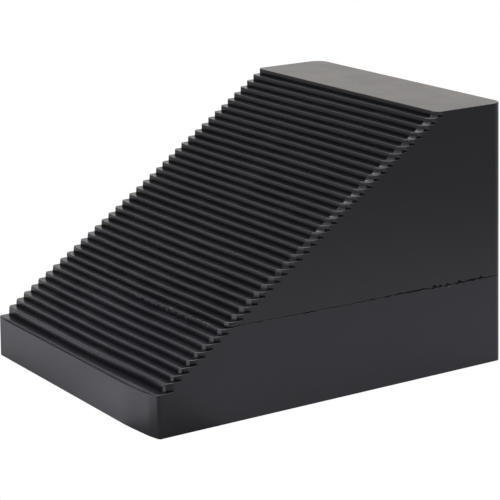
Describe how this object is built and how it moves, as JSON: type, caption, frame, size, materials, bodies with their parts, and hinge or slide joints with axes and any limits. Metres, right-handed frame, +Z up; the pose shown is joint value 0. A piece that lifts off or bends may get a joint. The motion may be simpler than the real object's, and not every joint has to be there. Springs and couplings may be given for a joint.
{
  "type": "wheel chock",
  "caption": "Solid rubber wheel chock: a wedge with a blunt toe, a finely stepped ramp that grips the tyre and a flat top, moulded as two blocks bonded one on the other.",
  "frame": {"origin": "on the ground, in the middle of the footprint", "axes": "+X across the width, +Y from the toe to the tall rear face, +Z up"},
  "size_m": [0.196, 0.251, 0.164],
  "materials": {
    "lower_rubber": "black moulded rubber, satin, a touch greyer than the upper block",
    "bond_rubber": "dull black bonding rubber with a torn edge",
    "upper_rubber": "black moulded rubber, smooth satin"
  },
  "bodies": {
    "root": {"lower_block": "lower_rubber", "bond_layer": "bond_rubber", "upper_wedge": "upper_rubber"}
  },
  "joints": []
}
